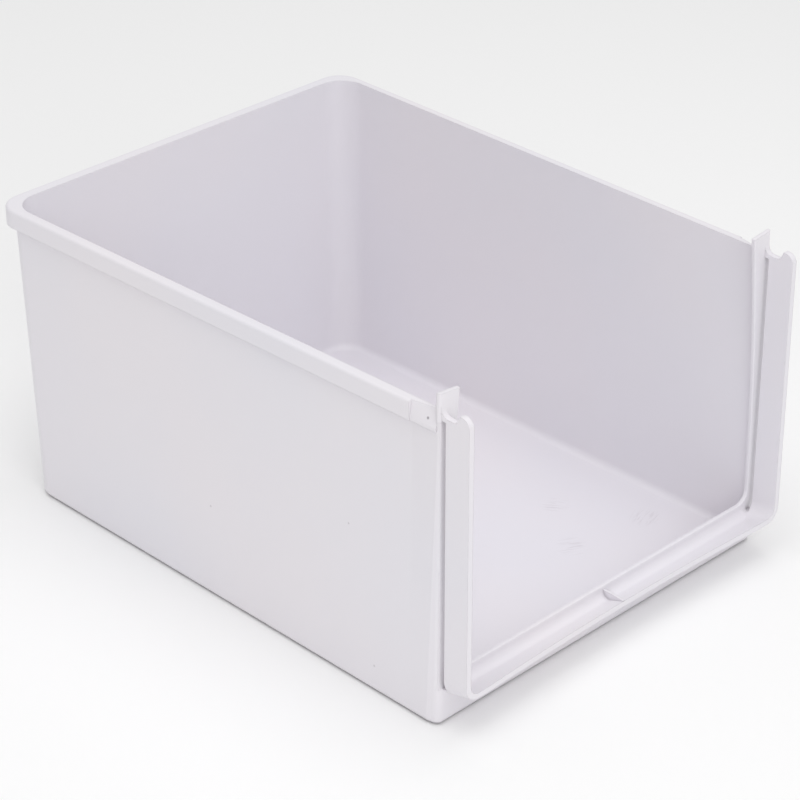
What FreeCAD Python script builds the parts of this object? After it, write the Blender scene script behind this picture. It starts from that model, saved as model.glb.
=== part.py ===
import FreeCAD, Part
import math
import os

import Sketcher

# Crisper drawer body of a refrigerator: one thin-walled moulding, open at the top and at the front.
# X runs across the drawer, -Y is the open front and +Z is up. All sizes are in millimetres.
# While it is modelled, Y = 0 is the front face of the posts and the sill, and Z = 0 is the underside.

SIZES = [
    # The tub, measured outside: at the foot of its walls and at the rim.
    ("height", 174.7),
    ("depth", 321.3),
    ("foot_depth", 312.0),
    ("foot_width_rear", 238.8),
    ("foot_width_front", 242.8),
    ("rim_width_rear", 251.0),
    ("rim_width_front", 240.7),
    ("wall", 2.2),
    ("floor", 2.4),
    ("rear_corner", 12.0),
    ("inner_corner", 15.0),
    ("foot_round", 3.5),
    ("floor_round", 4.0),
    # The rim: a lip turned out and down along both sides and the rear.
    ("rim_height", 10.4),
    ("rim_corner", 14.0),
    ("rim_overhang", 3.0),
    ("rim_overhang_rear", 5.0),
    ("rim_top", 2.2),
    ("rim_skirt", 1.6),
    ("rim_round", 1.8),
    ("rim_end_length", 16.6),
    ("rim_end_step", 0.5),
    ("rim_end_tip", 0.3),
    ("rim_end_foot", 2.0),
    # The front: posts that the side walls turn into, the sill between them and the ears above them.
    ("front_plate", 2.4),
    ("post_swell", 2.0),
    ("turn_in_foot", 1.6),
    ("turn_in_top", 0.3),
    ("turn_back_foot", 6.8),
    ("turn_back_top", 1.0),
    ("turn_round_foot", 4.2),
    ("turn_round_top", 0.4),
    ("post_edge_inset", 1.05),
    ("post_edge_round", 0.3),
    ("post_round_foot", 4.6),
    ("post_round_top", 1.0),
    ("sill_height", 26.3),
    ("lip_round", 0.6),
    ("opening_inset", 1.0),
    ("opening_draw", 7.15),
    ("opening_corner", 7.0),
    ("ear_rise", 10.25),
    ("ear_inset", 0.75),
    ("ear_fall", 1.3),
    ("ear_root", 5.0),
    ("ear_round", 1.6),
    # The U-shaped collar in front of the opening: two upright arms and a trough that rises forwards.
    ("collar_reach", 17.7),
    ("collar_inset", 1.7),
    ("collar_wall", 3.2),
    ("collar_seat", 1.6),
    ("trough_rear", 17.8),
    ("trough_front", 24.6),
    ("collar_corner_rear", 13.0),
    ("collar_corner_front", 8.5),
    ("trough_hollow", 4.0),
    ("hollow_margin", 2.0),
    ("trough_bow", 4.0),
    ("bow_margin", 12.45),
    ("arm_rise", 3.0),
    ("land_drop", 1.7),
    ("land_length", 9.6),
    ("land_ramp", 2.0),
    ("land_round", 4.0),
    ("ramp_round", 2.5),
    ("arm_nose", 5.0),
    ("slot_width", 2.7),
    ("slot_low", 21.5),
    ("slot_bridge", 2.0),
    # The fin in the middle of the trough.
    ("fin_thickness", 1.4),
    ("fin_length", 13.6),
    ("fin_top", 24.0),
    ("fin_fall", 1.3),
    ("fin_round", 14.0),
]

# Distance by which a cutter passes the face that it cuts through.
CLEAR = 5.0
# Distance within which an edge counts as lying where it is looked for.
TOUCH = 0.001


class Length:
    """A size as a number, to draw with, and as the text of the expression that binds it to the sheet."""

    def __init__(self, value, text):
        self.value = value
        self.text = text

    def __add__(self, other):
        return Length(self.value + other.value, f"({self.text} + {other.text})")

    def __sub__(self, other):
        return Length(self.value - other.value, f"({self.text} - {other.text})")

    def __mul__(self, other):
        if isinstance(other, Length):
            return Length(self.value * other.value, f"({self.text} * {other.text})")
        return Length(self.value * other, f"({self.text} * {other})")

    def __truediv__(self, other):
        return Length(self.value / other.value, f"({self.text} / {other.text})")

    def __neg__(self):
        return self * -1.0


def narrower(one, other):
    return Length(min(one.value, other.value), f"min({one.text}; {other.text})")


doc = FreeCAD.newDocument("crisper_drawer")
sheet = doc.addObject("Spreadsheet::Sheet", "Sizes")
size = {}
for row, (name, number) in enumerate(SIZES, start=1):
    sheet.set(f"A{row}", name)
    sheet.set(f"B{row}", str(number))
    sheet.setAlias(f"B{row}", name)
    size[name] = Length(number, f"Sizes.{name}")
doc.recompute()

zero = Length(0.0, "0")
clear = Length(CLEAR, str(CLEAR))
body = doc.addObject("PartDesign::Body", "drawer")
body.Label = "drawer"


def origin_plane(role):
    return next(feature for feature in body.Origin.OriginFeatures if feature.Role == role)


def bind(target, path, length):
    target.setExpression(path, length.text)


def sketch_on(role, name, offset=None):
    """Makes a sketch on an origin plane, moved along the plane's normal by an offset."""
    sketch = body.newObject("Sketcher::SketchObject", name)
    sketch.AttachmentSupport = [(origin_plane(role), "")]
    sketch.MapMode = "FlatFace"
    if offset is not None:
        bind(sketch, "AttachmentOffset.Base.z", offset)
    return sketch


def dimension(sketch, kind, length, *ends):
    index = sketch.addConstraint(Sketcher.Constraint(kind, *ends, length.value))
    bind(sketch, f"Constraints[{index}]", length)


def outline(sketch, corners):
    """Draws a closed outline through corners (x, y, radius); a corner without a radius stays sharp."""
    count = len(corners)
    points = [FreeCAD.Vector(x.value, y.value, 0) for x, y, _ in corners]
    ends = []
    arcs = []
    for i, (_, _, radius) in enumerate(corners):
        before = (points[i - 1] - points[i]).normalize()
        after = (points[(i + 1) % count] - points[i]).normalize()
        if radius is None:
            ends.append((points[i], points[i]))
            arcs.append(None)
            continue
        half_angle = before.getAngle(after) / 2
        run = radius.value / math.tan(half_angle)
        centre = points[i] + (before + after).normalize() * (radius.value / math.sin(half_angle))
        first = points[i] + before * run
        last = points[i] + after * run
        turns_left = before.cross(after).z < 0
        start, stop = (first, last) if turns_left else (last, first)
        angles = [math.atan2(p.y - centre.y, p.x - centre.x) for p in (start, stop)]
        circle = Part.Circle(centre, FreeCAD.Vector(0, 0, 1), radius.value)
        ends.append((first, last))
        arcs.append((Part.ArcOfCircle(circle, *angles), turns_left))
    lines = [
        sketch.addGeometry(Part.LineSegment(ends[i][1], ends[(i + 1) % count][0]), False) for i in range(count)
    ]
    for i, (x, y, radius) in enumerate(corners):
        mark = sketch.addGeometry(Part.Point(points[i]), True)
        dimension(sketch, "DistanceX", x, -1, 1, mark, 1)
        dimension(sketch, "DistanceY", y, -1, 1, mark, 1)
        line_in, line_out = lines[i - 1], lines[i]
        if radius is None:
            sketch.addConstraint(Sketcher.Constraint("Coincident", line_in, 2, mark, 1))
            sketch.addConstraint(Sketcher.Constraint("Coincident", line_out, 1, mark, 1))
            continue
        arc, turns_left = arcs[i]
        bend = sketch.addGeometry(arc, False)
        arc_in, arc_out = (1, 2) if turns_left else (2, 1)
        sketch.addConstraint(Sketcher.Constraint("PointOnObject", mark, 1, line_in))
        sketch.addConstraint(Sketcher.Constraint("PointOnObject", mark, 1, line_out))
        sketch.addConstraint(Sketcher.Constraint("Tangent", line_in, 2, bend, arc_in))
        sketch.addConstraint(Sketcher.Constraint("Tangent", bend, arc_out, line_out, 1))
        dimension(sketch, "Radius", radius, bend)
    return sketch


def both_sides(corners):
    """Adds the mirror image in the Y axis to the corners of a right half, so that the outline closes."""
    return corners + [(-x, y, radius) for x, y, radius in reversed(corners)]


def settle(made):
    """Recomputes the document and stops at a feature that could not be built."""
    doc.recompute()
    if not made.isValid() or made.Shape.isNull():
        raise RuntimeError(f"{made.Name} could not be built: {made.State}")
    return made


def feature(kind, name, sketch, **values):
    made = body.newObject(f"PartDesign::{kind}", name)
    made.Profile = sketch
    for key, value in values.items():
        if isinstance(value, Length):
            bind(made, key, value)
        else:
            setattr(made, key, value)
    return settle(made)


def loft(kind, name, first, last):
    return feature(kind, name, first, Sections=[last], Ruled=True)


def cut(name, sketch, **values):
    """Pockets a sketch and stops if nothing was cut, because a pocket that points away cuts in silence."""
    before = body.Shape.Volume
    made = feature("Pocket", name, sketch, **values)
    if made.Shape.Volume >= before:
        raise RuntimeError(f"{name} cuts nothing")
    return made


def round_edges(name, radius, chosen):
    """Fillets the edges of the body's last feature for which chosen(edge) holds."""
    base = body.Tip
    names = [f"Edge{i}" for i, edge in enumerate(base.Shape.Edges, start=1) if chosen(edge)]
    if not names:
        raise RuntimeError(f"{name} finds no edge")
    made = body.newObject("PartDesign::Fillet", name)
    made.Base = (base, names)
    bind(made, "Radius", radius)
    return settle(made)


def lies_on(edge, axis, length):
    """True where a whole edge lies at one coordinate, such as axis "z" at a height."""
    points = edge.discretize(Number=5)
    return all(abs(getattr(point, axis) - length.value) < TOUCH for point in points)


# The collar: a U-shaped wall drawn at its seat in the sill and at its front edge, and lofted between them.
rim_half_front = size["rim_width_front"] * 0.5
foot_half_front = size["foot_width_front"] * 0.5
front_half = narrower(rim_half_front, foot_half_front)
collar_half = front_half - size["collar_inset"]
over_collar = (collar_half + clear) * 2
arm_inside = collar_half - size["collar_wall"]
arm_top = size["height"] + size["arm_rise"]


def collar_outline(sketch, trough, corner):
    underside = trough - size["collar_wall"]
    right_half = [
        (collar_half, underside, corner),
        (collar_half, arm_top, None),
        (arm_inside, arm_top, None),
        (arm_inside, trough, corner - size["collar_wall"]),
    ]
    return outline(sketch, both_sides(right_half))


collar_rear = collar_outline(
    sketch_on("XZ_Plane", "collar_rear", -size["collar_seat"]), size["trough_rear"], size["collar_corner_rear"]
)
collar_front = collar_outline(
    sketch_on("XZ_Plane", "collar_front", size["collar_reach"]), size["trough_front"], size["collar_corner_front"]
)
loft("AdditiveLoft", "collar", collar_rear, collar_front)

# The front edge of the trough bows back between the arms: one large circle, seen from above, cuts it.
bow_half = arm_inside - size["bow_margin"]
bow_radius = (bow_half * bow_half + size["trough_bow"] * size["trough_bow"]) / (size["trough_bow"] * 2)
bow_centre = size["trough_bow"] - size["collar_reach"] - bow_radius
bow = sketch_on("XY_Plane", "trough_bow")
bow_circle = bow.addGeometry(
    Part.Circle(FreeCAD.Vector(0, bow_centre.value, 0), FreeCAD.Vector(0, 0, 1), bow_radius.value), False
)
bow.addConstraint(Sketcher.Constraint("PointOnObject", bow_circle, 3, -2))
dimension(bow, "DistanceY", bow_centre, -1, 1, bow_circle, 3)
dimension(bow, "Radius", bow_radius, bow_circle)
cut("bowed_edge", bow, Type="Length", Length=size["height"], Reversed=True)

# The top of each arm: a land in front of the ear, a hollow ramp and a raised nose at the front.
ramp_end = -(size["land_length"] + size["land_ramp"])
over_arm = arm_top + clear
arm_land = size["height"] - size["land_drop"]
land = outline(
    sketch_on("YZ_Plane", "arm_land"),
    [
        (zero, over_arm, None),
        (zero, arm_land, size["land_round"]),
        (-size["land_length"], arm_land, size["ramp_round"]),
        (ramp_end, arm_top, None),
        (ramp_end, over_arm, None),
    ],
)
cut("arm_lands", land, Type="Length", Length=over_collar, Midplane=True)
round_edges(
    "arm_noses",
    size["arm_nose"],
    lambda edge: lies_on(edge, "y", -size["collar_reach"]) and lies_on(edge, "z", arm_top),
)

# A narrow slot parts each arm from its post, from the trough up to the land.
behind_seat = size["collar_seat"] + clear
slot_top = arm_land - size["slot_bridge"]
slot = outline(
    sketch_on("YZ_Plane", "arm_slot"),
    [
        (-size["slot_width"], size["slot_low"], None),
        (behind_seat, size["slot_low"], None),
        (behind_seat, slot_top, None),
        (-size["slot_width"], slot_top, None),
    ],
)
cut("arm_slots", slot, Type="Length", Length=over_collar, Midplane=True)

# The tub as a solid block: its sides splay at the rear and lean in at the front, where they swell into posts
# that turn in with a long slanted face. Its rear corners are round.
top_half_rear = size["rim_width_rear"] * 0.5 - size["rim_overhang"]
top_half_front = rim_half_front - size["rim_overhang"]
foot_half_rear = size["foot_width_rear"] * 0.5
top_rear = size["depth"] - size["rim_overhang_rear"]
rim_end = size["front_plate"] + size["rim_end_length"]


def tub_outline(end, level, swell, half_front, half_rear, rear):
    post_half = half_front + swell
    half_behind_post = half_front + (half_rear - half_front) * rim_end / rear
    turn_round = size[f"turn_round_{end}"]
    right_half = [
        (post_half - size[f"turn_in_{end}"], zero, turn_round),
        (post_half, size[f"turn_back_{end}"], turn_round),
        (half_behind_post, rim_end, None),
        (half_rear, rear, size["rear_corner"]),
    ]
    return outline(sketch_on("XY_Plane", f"tub_{end}", level), both_sides(right_half))


foot = tub_outline("foot", zero, zero, foot_half_front, foot_half_rear, size["foot_depth"])
top = tub_outline("top", size["height"], size["post_swell"], top_half_front, top_half_rear, top_rear)
loft("AdditiveLoft", "tub", foot, top)
round_edges("foot_edge", size["foot_round"], lambda edge: lies_on(edge, "z", zero))

# The rim: a flat lip and a skirt that hangs from its outer edge, so that it is hollow from below.
rim_half_rear = size["rim_width_rear"] * 0.5
rim_half_end = rim_half_front + (rim_half_rear - rim_half_front) * rim_end / size["depth"]
rim_under = size["height"] - size["rim_height"]


def rim_corners(inset):
    right_half = [
        (rim_half_end - inset, rim_end, None),
        (rim_half_rear - inset, size["depth"] - inset, size["rim_corner"] - inset),
    ]
    return both_sides(right_half)


lip = outline(sketch_on("XY_Plane", "rim_lip", size["height"] - size["rim_top"]), rim_corners(zero))
feature("Pad", "rim_top", lip, Length=size["rim_top"])
skirt = outline(sketch_on("XY_Plane", "rim_skirt", rim_under), rim_corners(zero))
outline(skirt, rim_corners(size["rim_skirt"]))
feature("Pad", "rim_side", skirt, Length=size["rim_height"] - size["rim_top"] * 0.5)
round_edges(
    "rim_edge",
    size["rim_round"],
    lambda edge: lies_on(edge, "z", size["height"]) and edge.BoundBox.YMax > rim_end.value + TOUCH,
)

# The solid ends of the rim: they start a small step inside the skirt, with their tops inside its round edge, and
# lean in towards the front, where their tops run out to nothing.
end_half = rim_half_end - size["rim_end_step"]
end_top = rim_half_end - size["rim_round"]
end_tip = top_half_front - size["wall"] + size["rim_end_tip"]
ends = outline(
    sketch_on("XY_Plane", "rim_end_plan", rim_under),
    both_sides([(end_half, size["front_plate"], None), (end_half, rim_end, None)]),
)
feature("Pad", "rim_ends", ends, Length=size["rim_height"])
over_end = end_half + clear
lean_low = rim_under + size["rim_end_foot"]


def lean_outline(name, station, side, leaned):
    corners = [
        (end_half * side, lean_low, None),
        (over_end * side, lean_low, None),
        (over_end * side, size["height"] + clear, None),
        (leaned * side, size["height"], None),
    ]
    return outline(sketch_on("XZ_Plane", name, -station), corners)


for side, name in ((1, "right"), (-1, "left")):
    lean_rear = lean_outline(f"lean_rear_{name}", rim_end, side, end_top)
    lean_front = lean_outline(f"lean_front_{name}", size["front_plate"], side, end_tip)
    loft("SubtractiveLoft", f"rim_end_lean_{name}", lean_rear, lean_front)

# The front plate: its outer edges stand upright beside the slots, and below the rim it widens into the ears,
# which go up past the rim. The opening later parts its two sides.
post_edge_half = rim_half_front - size["post_edge_inset"]
ear_half = rim_half_front - size["ear_inset"]
ear_low = size["height"] - size["ear_root"]
ear_top = size["height"] + size["ear_rise"]


def plate_outline(name, level, half, corner):
    right_half = [(half, zero, corner), (half, size["front_plate"], None)]
    return outline(sketch_on("XY_Plane", name, level), both_sides(right_half))


post_plan = plate_outline("post_plan", size["slot_low"], post_edge_half, size["post_edge_round"])
feature("Pad", "post_edges", post_plan, Length=ear_low - size["slot_low"])
ear_plan = plate_outline("ear_plan", ear_low, ear_half, size["ear_round"])
feature("Pad", "ears", ear_plan, Length=size["ear_root"] + size["ear_rise"])

# The inside of the tub, with round corners and a round edge along its floor.
def cavity_outline(end, level, half_front, half_rear, rear):
    right_half = [
        (half_front - size["wall"], size["front_plate"], size[f"post_round_{end}"]),
        (half_rear - size["wall"], rear - size["wall"], size["inner_corner"]),
    ]
    return outline(sketch_on("XY_Plane", f"cavity_{end}", level), both_sides(right_half))


cavity_foot = cavity_outline("foot", size["floor"], foot_half_front, foot_half_rear, size["foot_depth"])
cavity_top = cavity_outline("top", size["height"], top_half_front, top_half_rear, top_rear)
loft("SubtractiveLoft", "cavity", cavity_foot, cavity_top)
round_edges("floor_edge", size["floor_round"], lambda edge: lies_on(edge, "z", size["floor"]))

# The open front above the sill: its sides stand upright at the bottom and sweep in towards the ears, whose tops
# fall towards it.
open_low = arm_inside - size["opening_inset"]
sweep_half = (size["height"] - size["sill_height"] - size["opening_corner"]) * 0.5
sweep_round = sweep_half * sweep_half * 2 / size["opening_draw"]
open_knee = size["height"] - sweep_half
ear_inner_top = ear_top - size["ear_fall"]
open_end = open_low - size["opening_draw"] / sweep_half * (ear_inner_top - open_knee)
opening = outline(
    sketch_on("XZ_Plane", "front_opening"),
    both_sides(
        [
            (open_low, size["sill_height"], size["opening_corner"]),
            (open_low, open_knee, sweep_round),
            (open_end, ear_inner_top, None),
            (ear_half, ear_top, None),
            (ear_half, ear_top + clear, None),
        ]
    ),
)
cut("front_open", opening, Type="Length", Length=size["front_plate"] + clear)

# The edges that a hand meets are soft: the front edge all round the opening and the rear edge of the sill.
open_reach = open_low.value + TOUCH
sill_level = size["sill_height"].value - TOUCH


def rings_opening(edge):
    box = edge.BoundBox
    return box.ZMin > sill_level and max(-box.XMin, box.XMax) < open_reach


round_edges("opening_edge", size["lip_round"], lambda edge: lies_on(edge, "y", zero) and rings_opening(edge))
round_edges(
    "sill_edge",
    size["lip_round"],
    lambda edge: lies_on(edge, "y", size["front_plate"]) and lies_on(edge, "z", size["sill_height"]),
)

# The sill runs into the trough with a round hollow, which ends in the round corners below the arms.
trough_rise = (size["trough_front"] - size["trough_rear"]) / (size["collar_seat"] + size["collar_reach"])
trough_level = size["trough_rear"] + trough_rise * size["collar_seat"]
hollow_top = size["sill_height"] - size["lip_round"]
hollow_round = narrower(size["trough_hollow"], (hollow_top - trough_level) * 0.6)
hollow_end = size["collar_reach"] * 0.5
hollow_end_level = trough_level + trough_rise * hollow_end
hollow_cover = size["collar_wall"] * 0.25
hollow = outline(
    sketch_on("YZ_Plane", "hollow_side"),
    [
        (size["collar_seat"], size["trough_rear"] - hollow_cover, None),
        (size["collar_seat"], hollow_top, None),
        (zero, hollow_top, None),
        (zero, trough_level, hollow_round),
        (-hollow_end, hollow_end_level, None),
        (-hollow_end, hollow_end_level - hollow_cover, None),
    ],
)
feature("Pad", "hollow", hollow, Length=(arm_inside - size["hollow_margin"]) * 2, Midplane=True)

# The fin that stands on the trough and against the sill.
fin_root = size["trough_rear"] - size["collar_wall"] * 0.5
fin = outline(
    sketch_on("YZ_Plane", "fin_side"),
    [
        (size["collar_seat"], fin_root, None),
        (size["collar_seat"], size["fin_top"], None),
        (-size["fin_length"] * 0.5, size["fin_top"], size["fin_round"]),
        (-size["fin_length"], size["trough_front"] - size["fin_fall"], None),
    ],
)
feature("Pad", "fin", fin, Length=size["fin_thickness"], Midplane=True)

body.setExpression("Placement.Base.y", f"-({size['depth'].text} - {size['collar_reach'].text}) / 2")
doc.recompute()
for item in doc.Objects:
    if any(word in item.State for word in ("Invalid", "Error")):
        raise RuntimeError(f"{item.Name}: {item.State}")
if body.Shape.isNull() or not body.Shape.isValid():
    raise RuntimeError("the drawer's shape is not valid")
os.makedirs("parts", exist_ok=True)
body.Shape.exportStep(f"parts/{body.Label}.step")
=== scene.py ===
import math

import bpy
from mathutils import Matrix, Vector

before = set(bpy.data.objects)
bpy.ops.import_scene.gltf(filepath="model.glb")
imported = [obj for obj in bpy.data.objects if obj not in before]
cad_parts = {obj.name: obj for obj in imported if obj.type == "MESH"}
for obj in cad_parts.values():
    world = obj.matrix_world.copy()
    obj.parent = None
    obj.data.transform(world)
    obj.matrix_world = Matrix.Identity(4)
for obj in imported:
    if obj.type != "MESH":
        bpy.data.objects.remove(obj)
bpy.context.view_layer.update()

# The drawer body: one injection moulding in opaque white plastic with a faint cool tint, satin from the
# mould. Floor, walls, rim, posts, ears, sill, collar and fin are all the same moulding, so nothing is
# fixed to it.

# The plastic itself: its colour drifts a little, its sheen varies and its edges are slightly soft.
WARM_WHITE = (0.832, 0.802, 0.838, 1.0)
COOL_WHITE = (0.812, 0.795, 0.842, 1.0)
REFRACTION = 1.49
FLOW_SCALE = 7.0
FLOW_DETAIL = 2.0
FLOW_RANGE = (0.35, 0.65)
SHEEN_SCALE = 38.0
SHEEN_DETAIL = 3.0
SHEEN_RANGE = (0.3, 0.7)
SATIN = 0.36
SATIN_SPREAD = 0.08
GRAIN_SCALE = 1400.0
GRAIN_DETAIL = 2.0
GRAIN_HEIGHT = 0.000012
EDGE_SOFTNESS = 0.0006
EDGE_SAMPLES = 6
# Painted shade in the narrow slots and creases: the colour is darkened by how far a point is shut in.
CREVICE_REACH = 0.005
CREVICE_SAMPLES = 8
CREVICE_RANGE = (0.1, 0.6)
CREVICE_SHADE_GREY = (0.18, 0.15, 0.18, 1.0)
CREVICE_SHADE_SHARE = 0.8
# Marks of use: a floor scuff is an x, a y and the turn of its streaks, and a speck or the pit is a point.
SCUFF_GREY = (0.66, 0.63, 0.67, 1.0)
SCUFF_SHARE = 0.45
SCUFF_REACH = 0.010
STREAK_SCALE = (900.0, 90.0, 90.0)
STREAK_DETAIL = 2.0
STREAK_RANGE = (0.52, 0.64)
SPECK_GREY = (0.45, 0.41, 0.44, 1.0)
SPECK_SHARE = 0.5
SPECK_REACH = 0.0008
PIT_GREY = (0.12, 0.10, 0.12, 1.0)
PIT_SHARE = 0.9
PIT_REACH = 0.0011
FLOOR_LEVEL = 0.0024
FLOOR_SCUFFS = ((0.069, -0.055, 0.6), (0.094, -0.100, 1.9), (0.044, -0.091, 1.1))
WALL_SPECKS = ((-0.1201, 0.0107, 0.0551), (-0.1210, -0.1089, 0.0155), (-0.1193, -0.0906, 0.0894))
RIM_PIT = (-0.1195, -0.1435, 0.1695)

plastic = bpy.data.materials.new("moulded_white_plastic")
plastic.use_nodes = True
plastic_nodes = plastic.node_tree.nodes
plastic_links = plastic.node_tree.links
plastic_shader = plastic_nodes["Principled BSDF"]
plastic_shader.inputs["IOR"].default_value = REFRACTION
place = plastic_nodes.new("ShaderNodeTexCoord").outputs["Object"]


def cloud(point, scale, detail):
    """Puts in a soft noise over a point and returns its value."""
    noise = plastic_nodes.new("ShaderNodeTexNoise")
    noise.inputs["Scale"].default_value = scale
    noise.inputs["Detail"].default_value = detail
    plastic_links.new(point, noise.inputs["Vector"])
    return noise.outputs["Fac"]


def spread(value, old_range, new_range):
    """Maps a value from one range to another, held at both ends."""
    node = plastic_nodes.new("ShaderNodeMapRange")
    for title, limits in (("From", old_range), ("To", new_range)):
        node.inputs[f"{title} Min"].default_value = limits[0]
        node.inputs[f"{title} Max"].default_value = limits[1]
    plastic_links.new(value, node.inputs["Value"])
    return node.outputs["Result"]


def tint(share, first, second):
    """Mixes two colours, or a colour that is already made and a new one, by a share."""
    node = plastic_nodes.new("ShaderNodeMix")
    node.data_type = "RGBA"
    plastic_links.new(share, node.inputs["Factor"])
    for socket, colour in (("A_Color", first), ("B_Color", second)):
        target = next(entry for entry in node.inputs if entry.identifier == socket)
        if isinstance(colour, tuple):
            target.default_value = colour
        else:
            plastic_links.new(colour, target)
    return next(entry for entry in node.outputs if entry.identifier == "Result_Color")


def product(first, second):
    """Multiplies two values."""
    node = plastic_nodes.new("ShaderNodeMath")
    node.operation = "MULTIPLY"
    plastic_links.new(first, node.inputs[0])
    plastic_links.new(second, node.inputs[1])
    return node.outputs["Value"]


def spot(centre, reach, share):
    """Gives a share that holds to half the reach from a centre and fades to nothing at the reach."""
    node = plastic_nodes.new("ShaderNodeVectorMath")
    node.operation = "DISTANCE"
    plastic_links.new(place, node.inputs[0])
    node.inputs[1].default_value = centre
    return spread(node.outputs["Value"], (reach / 2, reach), (share, 0.0))


def scratches(turn):
    """Gives thin streaks across a direction on the floor, as rubbing leaves them."""
    node = plastic_nodes.new("ShaderNodeMapping")
    node.vector_type = "TEXTURE"
    node.inputs["Rotation"].default_value = (0.0, 0.0, turn)
    node.inputs["Scale"].default_value = [1.0 / number for number in STREAK_SCALE]
    plastic_links.new(place, node.inputs["Vector"])
    return spread(cloud(node.outputs["Vector"], 1.0, STREAK_DETAIL), STREAK_RANGE, (0.0, 1.0))


flow = spread(cloud(place, FLOW_SCALE, FLOW_DETAIL), FLOW_RANGE, (0.0, 1.0))
body_colour = tint(flow, WARM_WHITE, COOL_WHITE)
for scuff_x, scuff_y, scuff_turn in FLOOR_SCUFFS:
    rubbed = spot((scuff_x, scuff_y, FLOOR_LEVEL), SCUFF_REACH, SCUFF_SHARE)
    body_colour = tint(product(rubbed, scratches(scuff_turn)), body_colour, SCUFF_GREY)
for speck in WALL_SPECKS:
    body_colour = tint(spot(speck, SPECK_REACH, SPECK_SHARE), body_colour, SPECK_GREY)
body_colour = tint(spot(RIM_PIT, PIT_REACH, PIT_SHARE), body_colour, PIT_GREY)

# Painted shade: the body colour is darkened towards a dark grey where a point is shut in, as in slots and
# creases.
crevice_occlusion = plastic_nodes.new("ShaderNodeAmbientOcclusion")
crevice_occlusion.inputs["Distance"].default_value = CREVICE_REACH
crevice_occlusion.samples = CREVICE_SAMPLES
crevice_shade = spread(crevice_occlusion.outputs["AO"], CREVICE_RANGE, (CREVICE_SHADE_SHARE, 0.0))
body_colour = tint(crevice_shade, body_colour, CREVICE_SHADE_GREY)

satin_range = (SATIN - SATIN_SPREAD / 2, SATIN + SATIN_SPREAD / 2)
sheen = spread(cloud(place, SHEEN_SCALE, SHEEN_DETAIL), SHEEN_RANGE, satin_range)

soft_edge = plastic_nodes.new("ShaderNodeBevel")
soft_edge.samples = EDGE_SAMPLES
soft_edge.inputs["Radius"].default_value = EDGE_SOFTNESS
grain = plastic_nodes.new("ShaderNodeBump")
grain.inputs["Distance"].default_value = GRAIN_HEIGHT
plastic_links.new(cloud(place, GRAIN_SCALE, GRAIN_DETAIL), grain.inputs["Height"])
plastic_links.new(soft_edge.outputs["Normal"], grain.inputs["Normal"])

plastic_links.new(body_colour, plastic_shader.inputs["Base Color"])
plastic_links.new(sheen, plastic_shader.inputs["Roughness"])
plastic_links.new(grain.outputs["Normal"], plastic_shader.inputs["Normal"])

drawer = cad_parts["drawer"]
drawer.data.materials.clear()
drawer.data.materials.append(plastic)

# The studio floor: a wide sheet of white paper that the drawer stands on. It is not part of the object.
FLOOR_REACH = 12.0
PAPER_WHITE = (0.97, 0.97, 0.97, 1.0)
PAPER_ROUGHNESS = 0.9

floor_mesh = bpy.data.meshes.new("studio_floor")
floor_corners = [(x * FLOOR_REACH, y * FLOOR_REACH, 0.0) for x, y in ((-1, -1), (1, -1), (1, 1), (-1, 1))]
floor_mesh.from_pydata(floor_corners, [], [(0, 1, 2, 3)])
studio_floor = bpy.data.objects.new("studio_floor", floor_mesh)
bpy.context.scene.collection.objects.link(studio_floor)
paper = bpy.data.materials.new("white_paper")
paper.use_nodes = True
paper_shader = paper.node_tree.nodes["Principled BSDF"]
paper_shader.inputs["Base Color"].default_value = PAPER_WHITE
paper_shader.inputs["Roughness"].default_value = PAPER_ROUGHNESS
floor_mesh.materials.append(paper)

# The studio light: a white room all round, one wide soft box overhead and one in front, higher than the
# camera, that lights the inside through the open front.
ROOM_WHITE = (1.0, 1.0, 1.0, 1.0)
ROOM_STRENGTH = 0.58
LIT_POINT = Vector((0.0, 0.0, 0.08))

room = bpy.data.worlds.new("white_room")
bpy.context.scene.world = room
room.use_nodes = True
room.node_tree.nodes["Background"].inputs["Color"].default_value = ROOM_WHITE
room.node_tree.nodes["Background"].inputs["Strength"].default_value = ROOM_STRENGTH
bpy.context.scene.view_settings.view_transform = "Standard"


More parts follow.
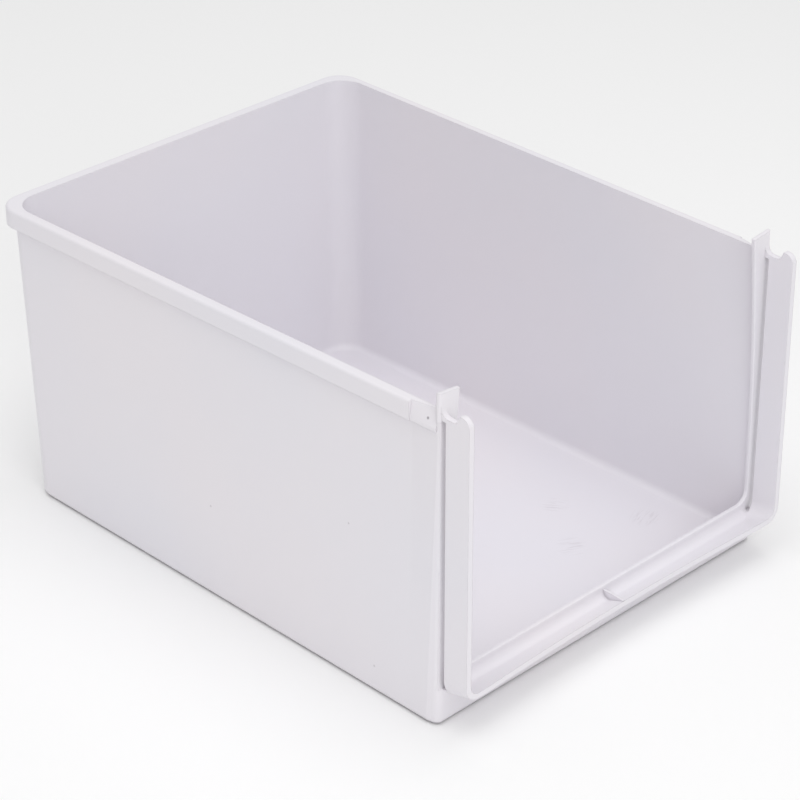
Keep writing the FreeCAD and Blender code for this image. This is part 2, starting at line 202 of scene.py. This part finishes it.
def soft_box(name, hung_at, width, power):
    """Hangs a square soft light at a point and turns it towards the middle of the drawer."""
    lamp = bpy.data.lights.new(name, "AREA")
    lamp.size = width
    lamp.energy = power
    holder = bpy.data.objects.new(name, lamp)
    holder.location = hung_at
    holder.rotation_euler = (LIT_POINT - Vector(hung_at)).to_track_quat("-Z", "Y").to_euler()
    bpy.context.scene.collection.objects.link(holder)


soft_box("overhead_box", hung_at=(-0.1, -0.1, 2.0), width=1.8, power=15.5)
soft_box("front_box", hung_at=(-0.85, -1.6, 1.1), width=1.2, power=9.0)

# The camera: a long lens in front of the left corner, a little above the drawer, framed as in the
# photograph.
CAMERA_TURN = math.radians(-45.2743)
CAMERA_RISE = math.radians(29.2277)
CAMERA_ROLL = math.radians(0.1103)
CAMERA_DISTANCE = 1.50465
CAMERA_TARGET = Vector((0.03235, 0.0107, 0.06665))
SENSOR_WIDTH = 36.0
FOCAL_LENGTH = 124.77
SHIFT_ACROSS = -0.02669
SHIFT_UP = -0.02119
SIGHT_LIMIT = 100.0

lens = bpy.data.cameras.new("photo_camera")
lens.sensor_width = SENSOR_WIDTH
lens.lens = FOCAL_LENGTH
lens.shift_x = SHIFT_ACROSS
lens.shift_y = SHIFT_UP
lens.clip_end = SIGHT_LIMIT
photo_camera = bpy.data.objects.new("photo_camera", lens)
back = Vector(
    (
        math.sin(CAMERA_TURN) * math.cos(CAMERA_RISE),
        -math.cos(CAMERA_TURN) * math.cos(CAMERA_RISE),
        math.sin(CAMERA_RISE),
    )
)
right = Vector((math.cos(CAMERA_TURN), math.sin(CAMERA_TURN), 0.0))
up = back.cross(right)
right_rolled = right * math.cos(CAMERA_ROLL) + up * math.sin(CAMERA_ROLL)
up_rolled = up * math.cos(CAMERA_ROLL) - right * math.sin(CAMERA_ROLL)
turned = Matrix((right_rolled, up_rolled, back)).transposed().to_4x4()
photo_camera.matrix_world = Matrix.Translation(CAMERA_TARGET + back * CAMERA_DISTANCE) @ turned
bpy.context.scene.collection.objects.link(photo_camera)
bpy.context.scene.camera = photo_camera
